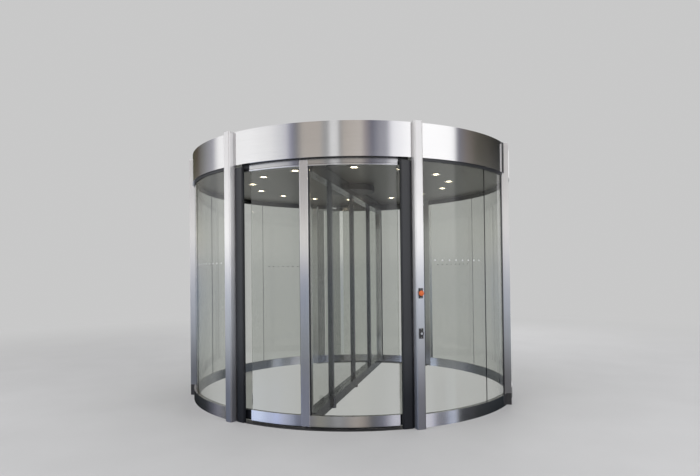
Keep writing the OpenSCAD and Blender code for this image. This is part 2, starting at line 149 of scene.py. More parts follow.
# What the metal reflects above the horizon: angle round the door from the front, then red, green, blue
SCREENS = (
    (-156, 0.9, 0.9, 0.9), (-148, 0.06, 0.06, 0.03), (-126, 0.1, 0.08, 0.06),
    (-112, 0.25, 0.25, 0.25), (-99, 0.45, 0.45, 0.5), (-92, 1.25, 1.25, 1.25), (-60, 1.2, 1.2, 1.2),
    (-45, 1.05, 1.05, 1.05), (-33, 0.7, 0.7, 0.75), (-30, 0.25, 0.25, 0.35), (-26, 0.2, 0.2, 0.2),
    (-22, 0.55, 0.5, 0.45), (-10, 0.55, 0.5, 0.45), (-8, 0.4, 0.4, 0.4), (-5, 0.4, 0.4, 0.4),
    (-3, 0.95, 0.95, 0.95), (2, 0.85, 0.85, 0.85), (3, 0.25, 0.25, 0.25), (5, 0.55, 0.5, 0.45),
    (17, 0.65, 0.6, 0.55), (19, 0.4, 0.35, 0.35), (24, 0.15, 0.15, 0.2), (29, 0.35, 0.35, 0.4),
    (34, 0.4, 0.4, 0.45), (37, 1.1, 1.1, 1.15), (52, 1.5, 1.5, 1.5), (83, 1.45, 1.45, 1.45),
    (86, 0.2, 0.2, 0.25), (95, 0.2, 0.17, 0.15), (105, 0.09, 0.08, 0.06), (138, 0.0, 0.0, 0.0),
    (152, 0.9, 0.9, 0.9))
# Share of that at a height, from straight down, -1, to straight up, 1
SCREEN_HEIGHTS = (
    (-1, 0.8), (-0.4, 0.6), (-0.3, 0.3), (-0.04, 0.3), (0.01, 0.4), (0.04, 0.9), (0.1, 1.0), (0.7, 1.0),
    (1, 0.8))
# Haze near the horizon on top of that
HORIZON_GLOW = (
    (-1, 0.3, 0.3, 0.3), (-0.45, 0.2, 0.2, 0.2), (-0.3, 0.0, 0.0, 0.0), (-0.22, 0.0, 0.0, 0.0),
    (-0.14, 0.15, 0.18, 0.2), (-0.03, 0.18, 0.23, 0.33), (0.01, 0.28, 0.3, 0.37),
    (0.04, 0.45, 0.45, 0.45), (0.07, 0.45, 0.45, 0.4), (0.12, 0.15, 0.15, 0.15), (0.18, 0.0, 0.0, 0.0))
# What the metal reflects of the ground, by angle as above, and how far that takes over at a height
GROUND = (
    (-180, 0.2, 0.2, 0.2), (-150, 0.0, 0.0, 0.0), (-112, 0.0, 0.0, 0.0), (-94, 0.15, 0.15, 0.2),
    (-86, 0.05, 0.05, 0.05), (-69, 0.05, 0.05, 0.05), (-66, 0.85, 1.0, 1.4), (-59, 0.85, 1.0, 1.35),
    (-50, 0.55, 0.65, 0.95), (-44, 0.6, 0.7, 1.1), (-38, 0.5, 0.55, 0.75), (-32, 0.3, 0.35, 0.5),
    (-27, 0.1, 0.1, 0.15), (-20, 0.1, 0.1, 0.15), (-14, 0.25, 0.25, 0.2), (-4, 0.2, 0.2, 0.2),
    (2, 0.25, 0.25, 0.25), (12, 0.45, 0.4, 0.35), (16, 0.35, 0.3, 0.25), (23, 0.1, 0.1, 0.1),
    (30, 0.15, 0.15, 0.2), (36, 0.6, 0.6, 0.7), (61, 0.7, 0.7, 0.8), (64, 0.5, 0.5, 0.65),
    (67, 0.05, 0.05, 0.1), (73, 0.0, 0.0, 0.05), (76, 0.3, 0.35, 0.5), (82, 0.55, 0.6, 0.75),
    (84, 0.0, 0.0, 0.0), (138, 0.0, 0.0, 0.0), (155, 0.2, 0.2, 0.2))
GROUND_HEIGHTS = ((-1, 0.2), (-0.45, 0.3), (-0.34, 1.0), (-0.21, 1.0), (-0.14, 0.0))

# Radius of the floor, and the distances between which it fades into the background
FLOOR_R = 60
FLOOR_FADE = (3.5, 12.0)
# Lamps: name, place, width and power, and the height on the axis that they point at
SOFTBOXES = (
    ("left_softbox", (-6, -7, 6.5), 6, 330),
    ("right_softbox", (7, -5, 6), 6, 230),
    ("back_softbox", (2, 8, 6), 6, 230))
LAMP_TARGET_Z = 1.2
# Camera: its place, its yaw, pitch and roll, its focal length and sensor width in millimetres,
# its shift upwards and how far it sees
CAMERA_PLACE = (1.160, -6.717, 1.454)
CAMERA_TURNS = (math.radians(9.99), math.radians(0.82), math.radians(-0.62))
FOCAL_LENGTH = 27.31
SENSOR_WIDTH = 36
CAMERA_SHIFT = 0.0389
VIEW_DEPTH = 200


# Settings

class FinishSettings(PropertyGroup):
    """Colours and surface of the door's materials."""

    steel_color: FloatVectorProperty(
        name="Steel", description="Colour of the ground stainless steel",
        subtype="COLOR", size=3, min=0, max=1, default=(0.68, 0.675, 0.68))
    # The wing is steel; its dark colour is painted shade inside the drum
    shaded_wing_color: FloatVectorProperty(
        name="Wing Metal", description="Colour of the wing steel, darkened as painted shade inside the drum",
        subtype="COLOR", size=3, min=0, max=1, default=(0.17, 0.175, 0.20))
    steel_roughness: FloatProperty(
        name="Steel Roughness", description="How blurred the steel reflects",
        min=0.05, max=0.8, default=0.17)
    steel_grain: FloatProperty(
        name="Steel Grain", description="How far the grain stretches reflections across it",
        min=0, max=1, default=0.95)
    dark_color: FloatVectorProperty(
        name="Dark Metal", description="Colour of the dark painted metal",
        subtype="COLOR", size=3, min=0, max=1, default=(0.045, 0.045, 0.048))
    rubber_color: FloatVectorProperty(
        name="Rubber", description="Colour of the rubber strips and seals",
        subtype="COLOR", size=3, min=0, max=1, default=(0.008, 0.009, 0.012))
    glass_color: FloatVectorProperty(
        name="Glass", description="Tint of the glass",
        subtype="COLOR", size=3, min=0, max=1, default=(0.77, 0.785, 0.755))
    # Grey of the board, darkened further as painted shade inside the drum
    ceiling_color: FloatVectorProperty(
        name="Ceiling", description="Colour of the ceiling board",
        subtype="COLOR", size=3, min=0, max=1, default=(0.15, 0.142, 0.125))
    button_color: FloatVectorProperty(
        name="Button", description="Colour of the emergency button",
        subtype="COLOR", size=3, min=0, max=1, default=(0.68, 0.14, 0.03))


class LightSettings(PropertyGroup):
    """The round lights in the ceiling."""

    lamp_color: FloatVectorProperty(
        name="Lamp Colour", description="Colour of the light",
        subtype="COLOR", size=3, min=0, max=1, default=(1.0, 0.86, 0.62))
    lamp_strength: FloatProperty(
        name="Lamp Strength", description="Brightness of the lens",
        min=0, max=50, default=14.0)
    lens_radius: FloatProperty(
        name="Lens Radius", description="Radius of the lens in each light",
        unit="LENGTH", min=0.02, max=0.04, default=0.034)


class MarkerSettings(PropertyGroup):
    """The row of small dots that makes the wall glass visible."""

    height: FloatProperty(
        name="Height", description="Height of the row above the floor",
        unit="LENGTH", min=1.0, max=1.8, default=1.566)
    radius: FloatProperty(
        name="Radius", description="Radius of a dot",
        unit="LENGTH", min=0.003, max=0.03, default=0.009)
    count: IntProperty(
        name="Count", description="Dots on each pane", min=1, max=30, default=8)
    first_angle: FloatProperty(
        name="First Angle", description="Angle of the first dot from the middle of the opening",
        subtype="ANGLE", default=math.radians(34.15))
    pitch: FloatProperty(
        name="Pitch", description="Angle between two dots",
        subtype="ANGLE", default=math.radians(2.53))


class TrimSettings(PropertyGroup):
    """Beads, gaskets, cover strips and screws."""

    bead_height: FloatProperty(
        name="Bead Height", description="Height of the bead along the rails over the curved glass",
        unit="LENGTH", min=0.005, max=0.03, default=0.016)
    bead_depth: FloatProperty(
        name="Bead Depth", description="How far the bead stands out",
        unit="LENGTH", min=0.001, max=0.006, default=0.004)
    gasket_width: FloatProperty(
        name="Gasket Width", description="Width of the gaskets beside the stiles",
        unit="LENGTH", min=0.004, max=0.02, default=0.009)
    strip_width: FloatProperty(
        name="Roof Strip Width", description="Width of the cover strips on the roof",
        unit="LENGTH", min=0.02, max=0.15, default=0.07)
    strip_count: IntProperty(
        name="Roof Strips", description="Cover strips round the roof", min=2, max=16, default=8)
    screw_spread: FloatProperty(
        name="Screw Spread", description="Distance of the plate screws from the middle of a plate",
        unit="LENGTH", min=0.03, max=0.044, default=0.039)


class StageSettings(PropertyGroup):
    """Floor and surroundings, which aren't part of the door."""

    floor_color: FloatVectorProperty(
        name="Floor", description="Colour of the floor",
        subtype="COLOR", size=3, min=0, max=1, default=(0.56, 0.56, 0.57))
    background: FloatProperty(
        name="Background", description="Brightness of the background",
        min=0, max=1, default=0.58)
    ambient: FloatProperty(
        name="Ambient", description="Soft light from all round", min=0, max=3, default=0.72)


# Materials

class Nodes:
    """Shorthand for building a node tree."""

    def __init__(self, tree):
        self.tree = tree
        tree.nodes.clear()

    def add(self, kind, **values):
        node = self.tree.nodes.new(kind)
        for key, value in values.items():
            setattr(node, key, value)
        return node

    def link(self, source, target):
        self.tree.links.new(source, target)

    def feed(self, socket, value):
        """Links a socket to another one, or gives it a value."""
        if isinstance(value, bpy.types.NodeSocket):
            self.link(value, socket)
        else:
            socket.default_value = value

    def put(self, node, **sockets):
        """Sets inputs by name, with _ for a space."""
        for key, value in sockets.items():
            self.feed(node.inputs[key.replace("_", " ")], value)

    def coordinates(self, scale=(1, 1, 1)):
        place = self.add("ShaderNodeTexCoord")
        mapping = self.add("ShaderNodeMapping")
        mapping.inputs["Scale"].default_value = scale
        self.link(place.outputs["Object"], mapping.inputs["Vector"])
        return mapping.outputs["Vector"]

    def noise(self, scale, detail=2.0, stretch=(1, 1, 1)):
        node = self.add("ShaderNodeTexNoise")
        self.put(node, Vector=self.coordinates(stretch), Scale=scale, Detail=detail)
        return node.outputs["Fac"]

    def ramp(self, factor, stops):
        """Colour ramp through stops of (position, colour or grey)."""
        node = self.add("ShaderNodeValToRGB")
        elements = node.color_ramp.elements
        while len(elements) > 1:
            elements.remove(elements[-1])
        for index, (position, color) in enumerate(stops):
            element = elements[0] if index == 0 else elements.new(position)
            element.position = position
            tone = (color, color, color) if isinstance(color, float) else color
            element.color = (*tone, 1)
        self.link(factor, node.inputs["Fac"])
        return node.outputs["Color"]

    def patchy(self, factor, color, dark, light):
        """Colour that wanders between two shades."""
        return self.ramp(factor, [(0.3, shade(color, dark)), (0.7, shade(color, light))])

    def spread(self, value, low, high):
        """Maps 0 to 1 onto low to high."""
        node = self.add("ShaderNodeMapRange")
        self.put(node, Value=value)
        node.inputs["To Min"].default_value = low
        node.inputs["To Max"].default_value = high
        return node.outputs["Result"]

    def bump(self, height, strength, distance):
        node = self.add("ShaderNodeBump")
        self.put(node, Height=height, Strength=strength, Distance=distance)
        return node.outputs["Normal"]

    def maths(self, operation, *values):
        node = self.add("ShaderNodeMath", operation=operation)
        for socket, value in zip(node.inputs, values):
            self.feed(socket, value)
        return node.outputs["Value"]

    def blend(self, kind, first, second, factor=1):
        """Mixes two colours."""
        node = self.add("ShaderNodeMix", data_type="RGBA", blend_type=kind)
        self.feed(node.inputs["Factor"], factor)
        self.link(first, node.inputs["A"])
        self.link(second, node.inputs["B"])
        return node.outputs["Result"]

    def choose(self, factor, first, second):
        """Mixes two shaders."""
        node = self.add("ShaderNodeMixShader")
        for socket, source in zip(node.inputs, (factor, first, second)):
            self.link(source, socket)
        return node.outputs["Shader"]


def new_material(name):
    material = bpy.data.materials.new(name)
    material.use_nodes = True
    nodes = Nodes(material.node_tree)
    surface = nodes.add("ShaderNodeBsdfPrincipled")
    output = nodes.add("ShaderNodeOutputMaterial")
    nodes.link(surface.outputs["BSDF"], output.inputs["Surface"])
    return material, nodes, surface, output


def shade(color, factor):
    return tuple(min(1.0, part * factor) for part in color)


def ground_steel(name, color, rough, grain, upright, foot=1.0):
    """Stainless steel ground with a fine belt.

    It has hair lines along the grain, soft clouds and a few finger marks.
    A foot under 1 darkens it towards the floor with painted shade.
    """
    material, nodes, surface, _ = new_material(name)
    along, across = (60.0, 0.25) if upright else (0.25, 60.0)
    lines = nodes.noise(9.0, 3.0, (along, along, across))
    fine = nodes.noise(30.0, 2.0, (along * 2, along * 2, across * 1.5))
    clouds = nodes.noise(1.6)
    mix = nodes.maths("ADD", nodes.maths("MULTIPLY", lines, 0.5), nodes.maths("MULTIPLY", fine, 0.3))
    mix = nodes.maths("ADD", mix, nodes.maths("MULTIPLY", clouds, 0.2))
    base = nodes.ramp(mix, [(0.3, shade(color, 0.92)), (0.5, color), (0.7, shade(color, 1.06))])
    # Painted shade towards the floor
    if foot < 1:
        base = nodes.blend("MULTIPLY", base, painted_floor_shade(nodes, foot))
    marks = nodes.spread(nodes.noise(5.0), -0.02, 0.02)
    roughness = nodes.maths("ADD", nodes.spread(mix, rough - 0.02, rough + 0.02), marks)
    nodes.put(surface, Base_Color=base, Roughness=roughness, Metallic=1.0, Anisotropic=grain,
              Anisotropic_Rotation=0.0 if upright else 0.25)
    tangent = nodes.add("ShaderNodeTangent", direction_type="RADIAL", axis="Z")
    nodes.link(tangent.outputs["Tangent"], surface.inputs["Tangent"])
    return material


def painted_floor_shade(nodes, foot):
    """Factor that falls from 1 to this value towards the floor, as painted shade near the floor."""
    split = nodes.add("ShaderNodeSeparateXYZ")
    nodes.link(nodes.coordinates(), split.inputs["Vector"])
    return nodes.ramp(split.outputs["Z"], [(0.0, foot), (0.3, foot + 0.08), (0.75, 0.93), (1.0, 1.0)])


def sheet_steel(settings):
    """Sheets, bottom rails and beads, with their grain round the drum."""
    return ground_steel("sheet_steel", tuple(settings.steel_color), rough=settings.steel_roughness,
                        grain=settings.steel_grain, upright=False)


def post_steel(settings):
    """Posts and jambs: a coarser grind with its grain up and down, paler as painted highlight and with
    painted shade towards the floor.
    """
    # Paler base is painted highlight; the darker foot is painted shade
    return ground_steel("post_steel", shade(settings.steel_color, 1.32),
                        rough=settings.steel_roughness + 0.18, grain=1.0, upright=True, foot=0.42)


def stile_steel(settings):
    """Stiles at the ends of the wing, screws and the key barrel, with their grain up and down."""
    return ground_steel("stile_steel", tuple(settings.steel_color),
                        rough=settings.steel_roughness + 0.04, grain=settings.steel_grain, upright=True)


def shaded_rail_steel(settings):
    """Rails over the curved glass, with their grain round the drum, darkened as painted shade under the
    canopy.
    """
    # Darker copy of the sheet steel: painted shade under the canopy
    return ground_steel("shaded_rail_steel", shade(settings.steel_color, 0.72), rough=settings.steel_roughness,
                        grain=settings.steel_grain, upright=False)


def shaded_wing_steel(settings):
    """Steel of the flat wing, darkened as painted shade inside the drum, which reflects alike along and
    across.
    """
    return ground_steel("shaded_wing_steel", tuple(settings.shaded_wing_color),
                        rough=settings.steel_roughness + 0.04, grain=0.0, upright=True)


def dark_metal(settings):
    """Dark satin paint with a fine orange-peel texture."""
    material, nodes, surface, _ = new_material("dark_metal")
    peel = nodes.noise(220.0)
    patches = nodes.noise(3.0, 3.0)
    nodes.put(surface, Base_Color=nodes.patchy(patches, settings.dark_color, 0.85, 1.15),
              Roughness=nodes.spread(patches, 0.36, 0.46), Metallic=0.4,
              Normal=nodes.bump(peel, 0.06, 0.001))
    return material


def rubber(settings):
    """Matt black rubber with a faint bloom, whose sheen fades towards the floor as painted shade."""
    material, nodes, surface, _ = new_material("rubber")
    bloom = nodes.noise(5.0, 4.0, (1, 1, 0.3))
    grain = nodes.noise(400.0, 1.0)
    color = tuple(settings.rubber_color)
    nodes.put(surface, Base_Color=nodes.ramp(bloom, [(0.35, color), (0.75, shade(color, 1.8))]),
              Roughness=nodes.spread(bloom, 0.36, 0.46),
              # Sheen fades towards the floor as painted shade
              Specular_IOR_Level=nodes.maths("MULTIPLY", painted_floor_shade(nodes, 0.25), 0.7),
              Normal=nodes.bump(grain, 0.1, 0.0006))
    return material


def brush_hair(settings):
    """Black brush: upright fibres."""
    material, nodes, surface, _ = new_material("brush_hair")
    fibres = nodes.noise(700.0, 2.0, (1, 1, 0.04))
    tones = [(0.35, (0.006, 0.006, 0.007)), (0.65, (0.05, 0.05, 0.052))]
    nodes.put(surface, Base_Color=nodes.ramp(fibres, tones), Roughness=0.75,
              Normal=nodes.bump(fibres, 0.6, 0.002))
    return material


def clear_glass(settings):
    """Float glass, which lets shadow rays pass with its tint."""
    material, nodes, surface, output = new_material("clear_glass")
    tint = tuple(settings.glass_color)
    haze = nodes.noise(0.9, 3.0)
    nodes.put(surface, Base_Color=nodes.patchy(haze, tint, 0.985, 1), Roughness=0.0, IOR=1.5,
              Transmission_Weight=1.0)
    clear = nodes.add("ShaderNodeBsdfTransparent")
    clear.inputs["Color"].default_value = (*tint, 1)
    rays = nodes.add("ShaderNodeLightPath")
    passes = nodes.maths("MAXIMUM", rays.outputs["Is Shadow Ray"], rays.outputs["Is Diffuse Ray"])
    seen = nodes.choose(passes, surface.outputs["BSDF"], clear.outputs["BSDF"])
    nodes.link(seen, output.inputs["Surface"])
    return material


def ceiling_paint(settings):
    """Grey satin ceiling panel, darkened further as painted shade inside the drum."""
    material, nodes, surface, _ = new_material("ceiling_paint")
    patches = nodes.noise(1.2, 3.0)
    nodes.put(surface, Base_Color=nodes.patchy(patches, settings.ceiling_color, 0.94, 1.05),
              Roughness=0.38, Normal=nodes.bump(nodes.noise(160.0, 1.0), 0.04, 0.001))
    return material


def lamp_rim(settings):
    """Pale coated metal of the rims and cans."""
    material, nodes, surface, _ = new_material("lamp_rim")
    tones = [(0.3, (0.70, 0.69, 0.66)), (0.7, (0.78, 0.77, 0.74))]
    nodes.put(surface, Base_Color=nodes.ramp(nodes.noise(40.0), tones), Roughness=0.3, Metallic=0.6)
    return material


def lamp_lens(lights):
    """Glowing lens of frosted glass."""
    material, nodes, surface, _ = new_material("lamp_lens")
    tones = [(0.3, (0.90, 0.86, 0.78)), (0.7, (0.96, 0.93, 0.86))]
    nodes.put(surface, Base_Color=nodes.ramp(nodes.noise(120.0, 1.0), tones), Roughness=0.4,
              Emission_Color=(*lights.lamp_color, 1), Emission_Strength=lights.lamp_strength)
    return material


def button_plastic(settings):
    """Orange red plastic."""
    material, nodes, surface, _ = new_material("button_plastic")
    patches = nodes.noise(60.0)
    nodes.put(surface, Base_Color=nodes.patchy(patches, settings.button_color, 0.9, 1.05),
              Roughness=0.3, Normal=nodes.bump(nodes.noise(500.0, 1.0), 0.03, 0.0005))
    return material


def frosted_print(settings):
    """Pale ceramic print on the glass."""
    material, nodes, surface, _ = new_material("frosted_print")
    tones = [(0.3, (0.62, 0.64, 0.64)), (0.7, (0.78, 0.80, 0.80))]
    nodes.put(surface, Base_Color=nodes.ramp(nodes.noise(900.0, 1.0), tones), Roughness=0.6)
    return material


MADE = {}


def finish(maker, *node_names):
    """Material of this maker, made once from the finish settings. The CAD nodes named get it."""
    if maker.__name__ not in MADE:
        MADE[maker.__name__] = maker(bpy.context.scene.door_finish)
    material = MADE[maker.__name__]
    for name in node_names:
        for slot in frame["nodes"][name].material_slots:
            slot.material = material
    return material


# Mesh helpers

def polar(radius, angle, z):
    """A point at this angle from -Y towards +X."""
    return Vector((radius * math.sin(angle), -radius * math.cos(angle), z))


def facing(angle, radius, z):
    """Matrix at a place on the drum, local Z outwards, local Y up."""
    out = Vector((math.sin(angle), -math.cos(angle), 0))
    across = Vector((0, 0, 1)).cross(out)
    place = polar(radius, angle, z)
    return Matrix(((across.x, 0, out.x, place.x), (across.y, 0, out.y, place.y),
                   (across.z, 1, out.z, place.z), (0, 0, 0, 1)))


def make_piece(name, mesh, body, material):
    """Object from a bmesh, which rides on a body."""
    data = bpy.data.meshes.new(name)
    bmesh.ops.recalc_face_normals(mesh, faces=mesh.faces)
    mesh.to_mesh(data)
    mesh.free()
    data.materials.append(material)
    data.shade_smooth()
    data.set_sharp_from_angle(angle=SHARP_EDGE)
    piece = bpy.data.objects.new(name, data)
    bpy.context.scene.collection.objects.link(piece)
    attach(piece, body)
    return piece


def lathe(mesh, profile, matrix, steps):
    """Turns a profile of (radius, height) points round the local Z axis. It starts and ends on the axis."""
    rings = []
    for radius, height in profile:
        turns = [math.tau * i / steps for i in range(steps)] if radius else [0]
        ring = [Vector((radius * math.cos(turn), radius * math.sin(turn), height)) for turn in turns]
        rings.append([mesh.verts.new(matrix @ point) for point in ring])
    for low, high in zip(rings, rings[1:]):
        for i in range(steps):
            j = (i + 1) % steps
            corners = []
            for vert in (low[i % len(low)], low[j % len(low)], high[j % len(high)], high[i % len(high)]):
                if vert not in corners:
                    corners.append(vert)
            mesh.faces.new(corners)


def loft(mesh, outlines):
    """Joins closed outlines with equal numbers of points one after the other, and caps both ends."""
    rings = [[mesh.verts.new(point) for point in outline] for outline in outlines]
    for here, ahead in zip(rings, rings[1:]):
        for i in range(len(here)):
            j = (i + 1) % len(here)
            mesh.faces.new((here[i], here[j], ahead[j], ahead[i]))
    mesh.faces.new(rings[0])
    mesh.faces.new(rings[-1])


def arc_steps(start, end, pitch=math.radians(1)):
    """Evenly spaced angles from start to end, about a pitch apart."""
    count = max(1, round(abs(end - start) / pitch))
    return [start + (end - start) * i / count for i in range(count + 1)]


def bead_section(radius, low, high, depth):
    """Half-round section that stands out from a face at this radius."""
    middle = (low + high) / 2
    half = (high - low) / 2
    return [(radius + depth * math.cos(turn), middle + half * math.sin(turn))
            for turn in arc_steps(-math.pi / 2, math.pi / 2, math.pi / 8)]


# Operators

class DOOR_OT_steel(Operator):
    """Gives the sheets, posts, rails and stiles their ground steel"""
    bl_idname = "door.steel"
    bl_label = "Steel"

    def execute(self, context):
        finish(sheet_steel, "left_plinth", "right_plinth", "front_canopy", "rear_canopy", "left_canopy",
               "right_canopy", "front_bottom_rail", "rear_bottom_rail")
        finish(shaded_rail_steel, "front_top_rail", "rear_top_rail")
        finish(post_steel, "front_left_post", "front_right_post", "rear_left_post", "rear_right_post",
               "left_jamb", "right_jamb")
        finish(stile_steel, "front_end_stile", "rear_end_stile", "key_barrel")
        finish(shaded_wing_steel, "centre_mullion", "wing_head_rail", "wing_foot_rail", "inner_stiles",
               "foot_locks")
        return {"FINISHED"}


class DOOR_OT_dark_metal(Operator):
    """Gives the painted and hidden metal its dark finish"""
    bl_idname = "door.dark_metal"
    bl_label = "Dark Metal"

    def execute(self, context):
        finish(dark_metal, "front_threshold", "rear_threshold", "canopy_flanges", "canopy_roof",
               "floor_bearing", "top_bearing", "hub_cover", "top_spindle", "jamb_feet", "control_plates",
               "key_switch")
        return {"FINISHED"}


class DOOR_OT_rubber(Operator):
    """Gives strips, seals, blocks and brushes their black rubber and hair"""
    bl_idname = "door.rubber"
    bl_label = "Rubber"

    def execute(self, context):
        finish(rubber, "front_safety_strips", "rear_safety_strips", "left_head_rail", "right_head_rail",
               "wall_joint_seals", "facade_gaskets", "rail_end_caps")
        finish(brush_hair, "floor_brushes")
        return {"FINISHED"}


class DOOR_OT_glass(Operator):
    """Gives all panes their glass"""
    bl_idname = "door.glass"
    bl_label = "Glass"

    def execute(self, context):
        finish(clear_glass, "left_wall_glass", "right_wall_glass", "wing_glass", "front_curved_glass",
               "rear_curved_glass")
        return {"FINISHED"}


class DOOR_OT_ceiling(Operator):
    """Gives the ceiling its paint and its lights their lenses"""
    bl_idname = "door.ceiling"
    bl_label = "Ceiling and Lights"

    def execute(self, context):
        finish(ceiling_paint, "ceiling")
        finish(lamp_rim, "downlights")
        lights = context.scene.door_lights
        profile = [(lights.lens_radius * share, height) for share, height in LENS]
        mesh = bmesh.new()
        for side in (0, math.pi):
            for i in range(LIGHT_COUNT):
                angle = WING_ANGLE + FIRST_LIGHT + side + i * LIGHT_PITCH
                place = Matrix.Translation(polar(LIGHT_CIRCLE_R, angle, CEILING_Z))
                lathe(mesh, profile, place, steps=32)
        make_piece("light_lenses", mesh, "drum", lamp_lens(lights))
        return {"FINISHED"}


class DOOR_OT_controls(Operator):
    """Makes the wide mushroom head of the emergency button"""
    bl_idname = "door.controls"
    bl_label = "Controls"

    def execute(self, context):
        mesh = bmesh.new()
        lathe(mesh, BUTTON, facing(POST_ANGLE, PLATE_R, BUTTON_Z), steps=48)
        button = make_piece("mushroom_button", mesh, "drum", finish(button_plastic))
        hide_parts("emergency_button")
        return {"FINISHED"}


class DOOR_OT_rail_beads(Operator):
    """Makes the bright bead along the lower edge of the rails over the curved glass"""
    bl_idname = "door.rail_beads"
    bl_label = "Rail Beads"

    def execute(self, context):
        beads = context.scene.door_trim
        low = TOP_RAIL_LOW + BEAD_EDGE
        section = bead_section(RAIL_R - SEAT, low, low + beads.bead_height, beads.bead_depth)
        mesh = bmesh.new()
        for end in (0, math.pi):
            for side in (-1, 1):
                angles = arc_steps(end + WING_ANGLE + side * STILE_HALF, end + REST_TURN + side * RAIL_END)
                loft(mesh, [[polar(radius, angle, z) for radius, z in section] for angle in angles])
        make_piece("rail_beads", mesh, "rotor", finish(sheet_steel))
        return {"FINISHED"}


class DOOR_OT_stile_gaskets(Operator):
    """Makes the black gaskets between the stiles and the curved glass"""
    bl_idname = "door.stile_gaskets"
    bl_label = "Stile Gaskets"

    def execute(self, context):
        width = context.scene.door_trim.gasket_width / GLASS_R
        mesh = bmesh.new()
        for middle in (WING_ANGLE, WING_ANGLE + math.pi):
            for side in (-1, 1):
                near = middle + side * STILE_HALF
                far = middle + side * (STILE_HALF + width)
                self.add_strip(mesh, near, far, GLASS_R, GASKET_DEPTH)
                self.add_strip(mesh, near, far, GLASS_R - GLASS_T, -GASKET_DEPTH)
        make_piece("stile_gaskets", mesh, "rotor", finish(rubber))
        return {"FINISHED"}

    def add_strip(self, mesh, near, far, face_r, depth):
        """Upright strip on a face of the glass, thin at its free edge."""
        outline = ((near, 0), (near, depth), ((near + far) / 2, depth), (far, depth * GASKET_LIP), (far, 0))
        loft(mesh, [[polar(face_r + rise, angle, z) for angle, rise in outline]
                    for z in (BOTTOM_RAIL_TOP, TOP_RAIL_LOW)])


class DOOR_OT_roof_joints(Operator):
    """Makes the cover strips over the joints of the roof board, with their screws"""
    bl_idname = "door.roof_joints"
    bl_label = "Roof Joints"

    def execute(self, context):
        roof = context.scene.door_trim
        strips = bmesh.new()
        screws = bmesh.new()
        for i in range(roof.strip_count):
            turn = Matrix.Rotation(math.tau * (i + 0.5) / roof.strip_count, 4, "Z")
            self.add_strip(strips, turn, roof.strip_width / 2)
            self.add_screws(screws, turn, roof.strip_width / 2)
        self.add_plate(strips)
        make_piece("roof_joints", strips, "drum", finish(dark_metal))
        make_piece("roof_screws", screws, "drum", finish(stile_steel))
        return {"FINISHED"}

    def add_strip(self, mesh, turn, half):
        """Flat bar along a radius, with bevelled upper edges."""
        bevel_w, bevel_h = STRIP_BEVEL
        section = ((-half, -STRIP_SINK), (half, -STRIP_SINK), (half, STRIP_RISE - bevel_h),
                   (half - bevel_w, STRIP_RISE), (bevel_w - half, STRIP_RISE),
                   (-half, STRIP_RISE - bevel_h))
        loft(mesh, [[turn @ Vector((x, -radius, ROOF_Z + z)) for x, z in section]
                    for radius in (STRIP_START, STRIP_END)])

    def add_screws(self, mesh, turn, half):
        """Three pairs of screws: near both ends of a strip and in its middle."""
        middle = (STRIP_START + STRIP_END) / 2
        for radius in (STRIP_START + SCREW_INSET, middle, STRIP_END - SCREW_INSET):
            for side in (-1, 1):
                place = Matrix.Translation((side * half * SCREW_OFFSET, -radius, ROOF_Z + STRIP_RISE))
                lathe(mesh, SCREW_HEAD, turn @ place, steps=16)

    def add_plate(self, mesh):
        """Round plate over the inner ends of the strips."""
        radius = STRIP_START + ROOF_PLATE_COVER
        rise = STRIP_RISE + ROOF_PLATE_STEP
        bevel_w, bevel_h = STRIP_BEVEL
        profile = ((0, -STRIP_SINK), (radius, -STRIP_SINK), (radius, rise - bevel_h),
                   (radius - 2 * bevel_w, rise), (0, rise))
        lathe(mesh, profile, Matrix.Translation((0, 0, ROOF_Z)), steps=64)


class DOOR_OT_plate_screws(Operator):
    """Makes the screws of the two control plates"""
    bl_idname = "door.plate_screws"
    bl_label = "Plate Screws"

    def execute(self, context):
        spread = context.scene.door_trim.screw_spread
        mesh = bmesh.new()
        for middle in (BUTTON_Z, SWITCH_Z):
            for z in (middle - spread, middle + spread):
                place = facing(POST_ANGLE, PLATE_R - SEAT, z)
                lathe(mesh, SCREW_HEAD, place @ Matrix.Scale(PLATE_SCREW, 4), steps=16)
        make_piece("plate_screws", mesh, "drum", finish(stile_steel))
        return {"FINISHED"}


class DOOR_OT_markers(Operator):
    """Makes the rows of dots on the wall glass"""
    bl_idname = "door.markers"
    bl_label = "Glass Markers"

    def execute(self, context):
        dots = context.scene.door_markers
        profile = [(dots.radius * share, height) for share, height in MARKER]
        mesh = bmesh.new()
        for start in (0, math.pi):
            for side in (1, -1):
                for i in range(dots.count):
                    angle = start + side * (dots.first_angle + i * dots.pitch)
                    lathe(mesh, profile, facing(angle, WALL_R, dots.height), steps=20)
        make_piece("glass_markers", mesh, "drum", finish(frosted_print))
        return {"FINISHED"}


